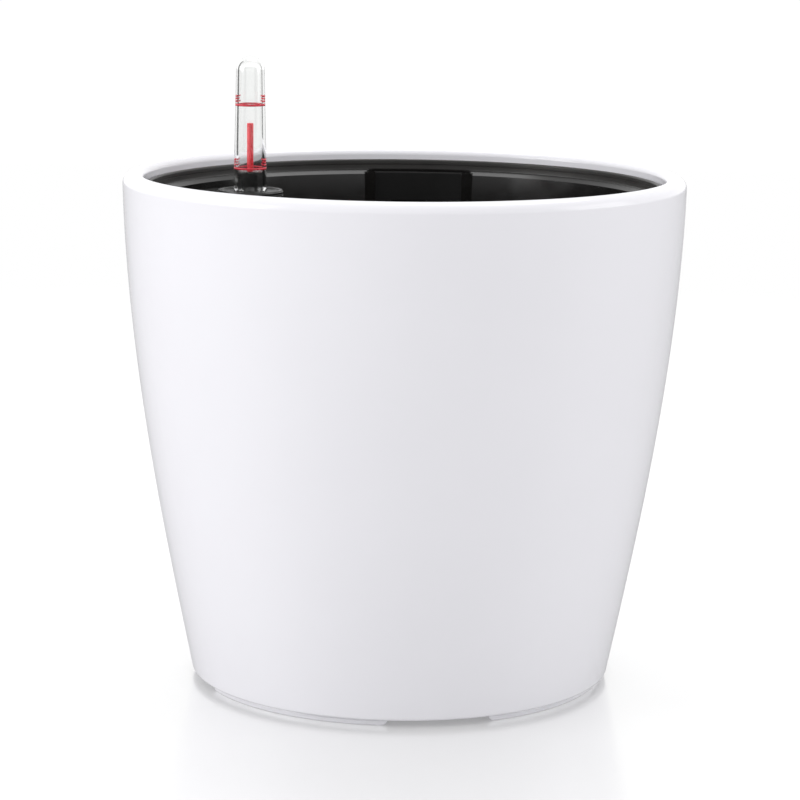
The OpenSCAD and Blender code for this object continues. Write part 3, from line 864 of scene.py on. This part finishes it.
# ---------------------------------------------------------------- wicks
def make_wick(index):
    """A strip of felt rolled up tight: the roll's edge shows as a spiral on top."""
    low, high, mid = box_of(f"wick_{index}")
    radius, centre = (high.x - low.x) / 2, (mid.x, mid.y)
    turns, sides, rings = 4.5, 96, 30
    bm = bmesh.new()

    def ruffle(a, z):
        return 0.25 * MM * noise.noise(Vector((math.cos(a) * 3, math.sin(a) * 3, z * 90 + index)))

    levels = [low.z + 0.6 * MM + (high.z - low.z - 1.4 * MM) * i / 14 for i in range(15)]
    columns = []
    for i in range(sides):
        a = 2 * math.pi * i / sides
        c, s = math.cos(a), math.sin(a)
        column = [(radius - 0.5 * MM, low.z)] + [(radius - 0.3 * MM + ruffle(a, z), z) for z in levels]
        for k in range(rings):
            share = 1 - (k + 0.5) / rings
            wave = math.cos(2 * math.pi * (share * turns + a / (2 * math.pi)))
            rough = noise.noise(Vector((c * share * 8, s * share * 8, index)))
            drop = 0.35 * MM + 0.8 * MM * max(0, wave) ** 3 + 0.25 * MM * rough
            column.append(((radius - 0.6 * MM) * share, high.z - min(1.4 * MM, max(0.02 * MM, drop))))
        columns.append([bm.verts.new((centre[0] + r * c, centre[1] + r * s, z)) for r, z in column])
    bottom = bm.verts.new((*centre, low.z))
    top = bm.verts.new((*centre, high.z - 0.5 * MM))
    for a, b in zip(columns, columns[1:] + columns[:1]):
        for i in range(len(a) - 1):
            bm.faces.new((a[i], b[i], b[i + 1], a[i + 1]))
        bm.faces.new((bottom, b[0], a[0]))
        bm.faces.new((a[-1], b[-1], top))
    return piece(mesh_object(f"felt_wick_{index}", bm), "wick", "liner", f"wick_{index}")


# ---------------------------------------------------------------- pieces shown by their CAD solids
CAD_PIECES = ("drain_plug", "drain_seal", "separator", "supply_shaft", "shaft_strainer",
              "wick_cup_1", "wick_cup_2", "wick_cup_3", "flange_gasket", "gauge_tube", "gauge_foot",
              "rod_guide", "float_clip")


def finish_cad_pieces():
    """Small edge roundings and their own materials for the hidden moulded pieces."""
    slots = {part["node"]: part["material_slot"] for part in frame["record"]["subparts"]}
    for node in CAD_PIECES:
        obj = dress(frame["nodes"][node], slots[node])
        weld = obj.modifiers.new("weld", "WELD")
        weld.merge_threshold = 1e-6
        soften(obj, 0.3 * MM, 30, 2)


# ---------------------------------------------------------------- camera, stage and light
CAMERA_PLACE = (0, -1.2915, 0.360)
CAMERA_LENS, CAMERA_SHIFT = 128.9, -0.0029          # in mm, and as a share of the frame
CAMERA_DOWN, CAMERA_ROLL = 10.22, 0.63              # degrees

FLOOR_HALF, GROUND_HALF, GROUND_Z = 2.4, 60, -0.004
FLOOR_FADE = (0.35, 1.3)              # the floor turns into plain white between these distances
FLOOR_GLOW = 0.2                      # what the floor gives off everywhere, to keep its shadows light
GROUND_WHITE = 1.02

# Each stop is a height, from 0 straight down to 1 straight up, and a brightness there.
WORLD_STOPS = ((0.0, 0.50), (0.485, 0.42), (0.5, 1.32), (0.6, 1.08), (1.0, 1.0))

FLAG_X, FLAG_NEAR, FLAG_FAR, FLAG_LOW, FLAG_TOP = 0.75, 0.3, 0.9, 0.02, 1.1
FLAG_GREY = 0.12

AIM = (0, 0, 0.12)
# Name, place, what it points at, size, power in watts, and the height if it isn't square.
LIGHTS = (
    ("key_left", (-1.65, -0.55, 0.75), AIM, 1.1, 13.8),
    ("fill_right", (1.75, -0.2, 0.7), AIM, 1.1, 6.5),
    ("top_back", (0.12, 0.6, 1.6), (0, 0.1, 0.2), 1.25, 7.5, 0.8),
)


def make_camera():
    cam = bpy.data.cameras.new("camera")
    cam.lens = CAMERA_LENS
    cam.sensor_width = 36
    cam.shift_x = CAMERA_SHIFT
    obj = bpy.data.objects.new("camera", cam)
    obj.location = CAMERA_PLACE
    obj.rotation_euler = (Matrix.Rotation(math.radians(90 - CAMERA_DOWN), 4, "X")
                          @ Matrix.Rotation(math.radians(CAMERA_ROLL), 4, "Z")).to_euler()
    bpy.context.scene.collection.objects.link(obj)
    bpy.context.scene.camera = obj


def emitter_material(name, strength):
    """An even glow, white at strength 1 and grey below it."""
    material = bpy.data.materials.new(name)
    material.use_nodes = True
    nodes, links = material.node_tree.nodes, material.node_tree.links
    nodes.clear()
    emission = nodes.new("ShaderNodeEmission")
    emission.inputs["Strength"].default_value = strength
    output = nodes.new("ShaderNodeOutputMaterial")
    links.new(emission.outputs["Emission"], output.inputs["Surface"])
    return material


def floor_material():
    """A pale sheet with a sheen, in which the pot's reflection shows softly. Far out it glows white."""
    s = Shader("studio_floor").set(IOR=1.5, Coat_Weight=1.0, Coat_IOR=2.5, Coat_Roughness=0.16,
                                   Emission_Color=(1, 1, 1, 1), Emission_Strength=FLOOR_GLOW)
    s.colour((0.57, 0.57, 0.57), (0.585, 0.585, 0.585), 6)
    s.roughness(0.17, 0.2, 12)
    s.bump((s.noise(30, 2), 0.02, 0.0004))
    distance = s.nodes.new("ShaderNodeVectorMath")
    distance.operation = "LENGTH"
    s.links.new(s.place, distance.inputs[0])
    glow = s.nodes.new("ShaderNodeEmission")
    blend = s.nodes.new("ShaderNodeMixShader")
    s.links.new(s.spread(distance.outputs["Value"], 0, 1, *FLOOR_FADE), blend.inputs["Fac"])
    s.links.new(s.main.outputs["BSDF"], blend.inputs[1])
    s.links.new(glow.outputs["Emission"], blend.inputs[2])
    s.links.new(blend.outputs["Shader"], s.nodes["Material Output"].inputs["Surface"])
    return s.material


def make_stage():
    """The floor, and a wider white ground under and behind it, which lights nothing directly."""
    plans = (("floor", FLOOR_HALF, 0, floor_material()),
             ("ground", GROUND_HALF, GROUND_Z, emitter_material("ground_white", GROUND_WHITE)))
    for name, half, z, material in plans:
        bm = bmesh.new()
        bmesh.ops.create_grid(bm, x_segments=4, y_segments=4, size=half)
        obj = mesh_object(name, bm, smooth=False)
        obj.location.z = z
        obj.data.materials.append(material)
        obj.visible_glossy = False
        if name == "ground":
            obj.visible_diffuse = False
            obj.visible_shadow = False


def area_light(name, place, target, size, power, size_y=None):
    """A soft light that the camera doesn't see."""
    light = bpy.data.lights.new(name, "AREA")
    light.energy = power
    light.size = size
    if size_y:
        light.shape = "RECTANGLE"
        light.size_y = size_y
    obj = bpy.data.objects.new(name, light)
    obj.location = place
    obj.rotation_euler = (Vector(target) - Vector(place)).to_track_quat("-Z", "Y").to_euler()
    obj.visible_camera = False
    bpy.context.scene.collection.objects.link(obj)


def make_world():
    """A soft white room above the floor. Below it lies what the glossy surfaces see of the floor."""
    world = bpy.data.worlds.new("studio")
    bpy.context.scene.world = world
    world.use_nodes = True
    nodes, links = world.node_tree.nodes, world.node_tree.links
    place = nodes.new("ShaderNodeTexCoord")
    split = nodes.new("ShaderNodeSeparateXYZ")
    links.new(place.outputs["Generated"], split.inputs["Vector"])
    height = nodes.new("ShaderNodeMapRange")
    height.inputs["From Min"].default_value = -1
    links.new(split.outputs["Z"], height.inputs["Value"])
    ramp = nodes.new("ShaderNodeFloatCurve")
    links.new(height.outputs["Result"], ramp.inputs["Value"])
    curve = ramp.mapping.curves[0]
    points = [(share, value / 2) for share, value in WORLD_STOPS]
    curve.points[0].location, curve.points[1].location = points[0], points[-1]
    for location in points[1:-1]:
        curve.points.new(*location)
    for point in curve.points:
        point.handle_type = "VECTOR"
    ramp.mapping.update()
    background = nodes["Background"]
    background.inputs["Color"].default_value = (1, 1, 1, 1)
    double = nodes.new("ShaderNodeMath")
    double.operation = "MULTIPLY"
    double.inputs[1].default_value = 2
    links.new(ramp.outputs["Value"], double.inputs[0])
    links.new(double.outputs["Value"], background.inputs["Strength"])


def make_flags():
    """Four dark cards round the pot, seen only through the clear cap, to draw its edges."""
    for name, x, turned in (("back_left", -FLAG_X, 1), ("back_right", FLAG_X, 1),
                            ("front_left", -FLAG_X, -1), ("front_right", FLAG_X, -1)):
        bm = bmesh.new()
        corners = [(x, turned * y, z) for y, z in ((FLAG_NEAR, FLAG_LOW), (FLAG_FAR, FLAG_LOW),
                                                   (FLAG_FAR, FLAG_TOP), (FLAG_NEAR, FLAG_TOP))]
        bm.faces.new([bm.verts.new(c) for c in corners])
        card = mesh_object(f"flag_{name}", bm, smooth=False)
        card.data.materials.append(emitter_material(card.name, FLAG_GREY))
        card.visible_camera = card.visible_diffuse = card.visible_glossy = card.visible_shadow = False


bpy.context.scene.view_settings.view_transform = "Standard"
make_camera()
make_stage()
make_world()
for light in LIGHTS:
    area_light(*light)
make_flags()
make_pot()
make_liner()
make_handle("handle_back", HANDLE_AZ)
make_handle("handle_front", HANDLE_AZ + 180)
make_cap()
make_level_marks()
make_flange()
make_rod()
make_float()
for index in (1, 2, 3):
    make_wick(index)
finish_cad_pieces()
